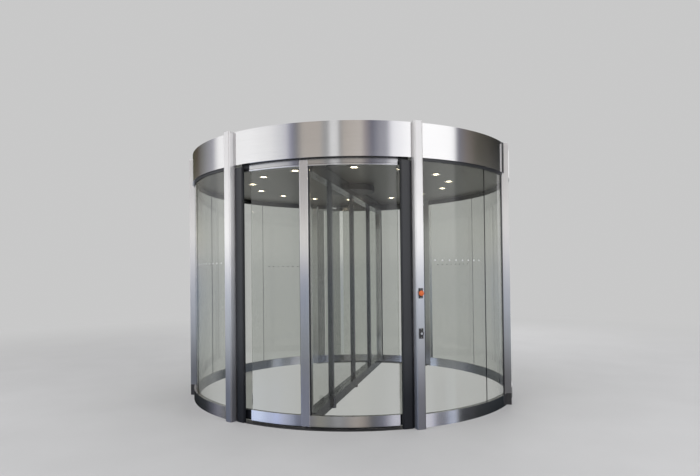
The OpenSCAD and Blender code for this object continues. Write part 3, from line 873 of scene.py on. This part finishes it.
class DOOR_OT_stage(Operator):
    """Makes the floor, the surroundings, the lamps and the camera"""
    bl_idname = "door.stage"
    bl_label = "Stage"

    def execute(self, context):
        scene = context.scene
        self.make_floor(scene)
        self.make_world(scene)
        self.make_lamps(scene)
        self.make_camera(scene)
        scene.view_settings.view_transform = "Standard"
        return {"FINISHED"}

    def make_floor(self, scene):
        mesh = bmesh.new()
        bmesh.ops.create_circle(mesh, cap_ends=True, segments=96, radius=FLOOR_R)
        data = bpy.data.meshes.new("floor")
        mesh.to_mesh(data)
        mesh.free()
        data.materials.append(self.floor_material(scene.door_stage))
        floor = bpy.data.objects.new("floor", data)
        scene.collection.objects.link(floor)

    def floor_material(self, settings):
        """Pale stone that fades into the background far away. Reflections on the door don't see it."""
        material, nodes, surface, output = new_material("floor_stone")
        stone = nodes.noise(1.2, 5.0)
        nodes.put(surface, Base_Color=nodes.patchy(stone, settings.floor_color, 0.97, 1.02),
                  Roughness=0.6, Specular_IOR_Level=0.2)
        away = nodes.add("ShaderNodeVectorMath", operation="LENGTH")
        nodes.link(nodes.coordinates(), away.inputs[0])
        fade = nodes.add("ShaderNodeMapRange", interpolation_type="SMOOTHSTEP")
        nodes.put(fade, Value=away.outputs["Value"], From_Min=FLOOR_FADE[0], From_Max=FLOOR_FADE[1])
        haze = nodes.add("ShaderNodeEmission")
        nodes.put(haze, Color=(1, 1, 1, 1), Strength=settings.background)
        distant = nodes.choose(fade.outputs["Result"], surface.outputs["BSDF"], haze.outputs["Emission"])
        rays = nodes.add("ShaderNodeLightPath")
        clear = nodes.add("ShaderNodeBsdfTransparent")
        seen = nodes.choose(rays.outputs["Is Glossy Ray"], distant, clear.outputs["BSDF"])
        nodes.link(seen, output.inputs["Surface"])
        return material

    def make_world(self, scene):
        """Plain light on the object. Metal and glass mirror tall soft screens and a darker ground."""
        settings = scene.door_stage
        world = scene.world or bpy.data.worlds.new("studio")
        scene.world = world
        world.use_nodes = True
        world.cycles.sampling_method = "NONE"
        nodes = Nodes(world.node_tree)
        mirrored = nodes.add("ShaderNodeBackground")
        nodes.link(self.reflections(nodes), mirrored.inputs["Color"])
        light = nodes.add("ShaderNodeBackground")
        nodes.put(light, Color=(1, 1, 1, 1), Strength=settings.ambient)
        back = nodes.add("ShaderNodeBackground")
        nodes.put(back, Color=(1, 1, 1, 1), Strength=settings.background)
        rays = nodes.add("ShaderNodeLightPath")
        indirect = nodes.choose(rays.outputs["Is Glossy Ray"], light.outputs["Background"],
                                mirrored.outputs["Background"])
        straight = nodes.maths("MAXIMUM", rays.outputs["Is Camera Ray"],
                               rays.outputs["Is Transmission Ray"])
        seen = nodes.choose(straight, indirect, back.outputs["Background"])
        output = nodes.add("ShaderNodeOutputWorld")
        nodes.link(seen, output.inputs["Surface"])

    def reflections(self, nodes):
        """Colour that metal and glass mirror in a direction: screens, haze and ground."""
        place = nodes.add("ShaderNodeTexCoord")
        split = nodes.add("ShaderNodeSeparateXYZ")
        nodes.link(place.outputs["Generated"], split.inputs["Vector"])
        turn = nodes.maths("ARCTAN2", split.outputs["X"], nodes.maths("MULTIPLY", split.outputs["Y"], -1.0))
        around = nodes.maths("ADD", nodes.maths("DIVIDE", turn, math.tau), 0.5)
        screens = nodes.ramp(around, [((angle + 180) / 360, tone) for angle, *tone in SCREENS])
        ground = nodes.ramp(around, [((angle + 180) / 360, tone) for angle, *tone in GROUND])
        rise = nodes.maths("ADD", nodes.maths("MULTIPLY", split.outputs["Z"], 0.5), 0.5)
        upright = nodes.ramp(rise, [((z + 1) / 2, share) for z, share in SCREEN_HEIGHTS])
        horizon = nodes.ramp(rise, [((z + 1) / 2, tone) for z, *tone in HORIZON_GLOW])
        below = nodes.ramp(rise, [((z + 1) / 2, share) for z, share in GROUND_HEIGHTS])
        seen = nodes.blend("MULTIPLY", screens, upright)
        seen = nodes.blend("ADD", seen, horizon)
        return nodes.blend("MIX", seen, ground, below)

    def make_lamps(self, scene):
        target = Vector((0, 0, LAMP_TARGET_Z))
        for name, place, size, power in SOFTBOXES:
            lamp = bpy.data.lights.new(name, "AREA")
            lamp.shape = "SQUARE"
            lamp.size = size
            lamp.energy = power
            holder = bpy.data.objects.new(name, lamp)
            holder.location = place
            holder.rotation_euler = (target - Vector(place)).to_track_quat("-Z", "Y").to_euler()
            holder.visible_glossy = False
            holder.visible_transmission = False
            holder.visible_camera = False
            scene.collection.objects.link(holder)

    def make_camera(self, scene):
        """Stands where the photo was taken from: eye height, a little to the right of the middle."""
        yaw, pitch, roll = CAMERA_TURNS
        ahead = Vector((-math.sin(yaw) * math.cos(pitch), math.cos(yaw) * math.cos(pitch), math.sin(pitch)))
        level = Vector((math.cos(yaw), math.sin(yaw), 0))
        over = level.cross(ahead)
        right = level * math.cos(roll) + over * math.sin(roll)
        up = over * math.cos(roll) - level * math.sin(roll)
        lens = bpy.data.cameras.new("camera")
        lens.sensor_width = SENSOR_WIDTH
        lens.lens = FOCAL_LENGTH
        lens.shift_y = CAMERA_SHIFT
        lens.clip_end = VIEW_DEPTH
        camera = bpy.data.objects.new("camera", lens)
        turn = Matrix((right, up, -ahead)).transposed().to_4x4()
        camera.matrix_world = Matrix.Translation(CAMERA_PLACE) @ turn
        scene.collection.objects.link(camera)
        scene.camera = camera


class DOOR_PT_panel(Panel):
    """Sizes and colours of the door, and the buttons that build it"""
    bl_idname = "DOOR_PT_panel"
    bl_label = "Revolving Door"
    bl_space_type = "VIEW_3D"
    bl_region_type = "UI"
    bl_category = "Revolving Door"

    def draw(self, context):
        scene = context.scene
        for title, group in (("Finishes", scene.door_finish), ("Lights", scene.door_lights),
                             ("Glass Markers", scene.door_markers), ("Trim", scene.door_trim),
                             ("Stage", scene.door_stage)):
            box = self.layout.box()
            box.label(text=title)
            for key in group.__annotations__:
                box.prop(group, key)
        column = self.layout.column()
        for operator in OPERATORS:
            column.operator(operator.bl_idname)


SETTINGS = (("door_finish", FinishSettings), ("door_lights", LightSettings),
            ("door_markers", MarkerSettings), ("door_trim", TrimSettings), ("door_stage", StageSettings))
OPERATORS = (DOOR_OT_stage, DOOR_OT_steel, DOOR_OT_dark_metal, DOOR_OT_rubber, DOOR_OT_glass,
             DOOR_OT_ceiling, DOOR_OT_controls, DOOR_OT_rail_beads, DOOR_OT_stile_gaskets,
             DOOR_OT_roof_joints, DOOR_OT_plate_screws, DOOR_OT_markers)


def register():
    for name, group in SETTINGS:
        bpy.utils.register_class(group)
        setattr(bpy.types.Scene, name, PointerProperty(type=group))
    for item in (*OPERATORS, DOOR_PT_panel):
        bpy.utils.register_class(item)


def unregister():
    for item in (DOOR_PT_panel, *reversed(OPERATORS)):
        bpy.utils.unregister_class(item)
    for name, group in reversed(SETTINGS):
        delattr(bpy.types.Scene, name)
        bpy.utils.unregister_class(group)


def main():
    register()
    bpy.ops.door.stage()
    bpy.ops.door.steel()
    bpy.ops.door.dark_metal()
    bpy.ops.door.rubber()
    bpy.ops.door.glass()
    bpy.ops.door.ceiling()
    bpy.ops.door.controls()
    bpy.ops.door.rail_beads()
    bpy.ops.door.stile_gaskets()
    bpy.ops.door.roof_joints()
    bpy.ops.door.plate_screws()
    bpy.ops.door.markers()


if __name__ == "__main__":
    main()
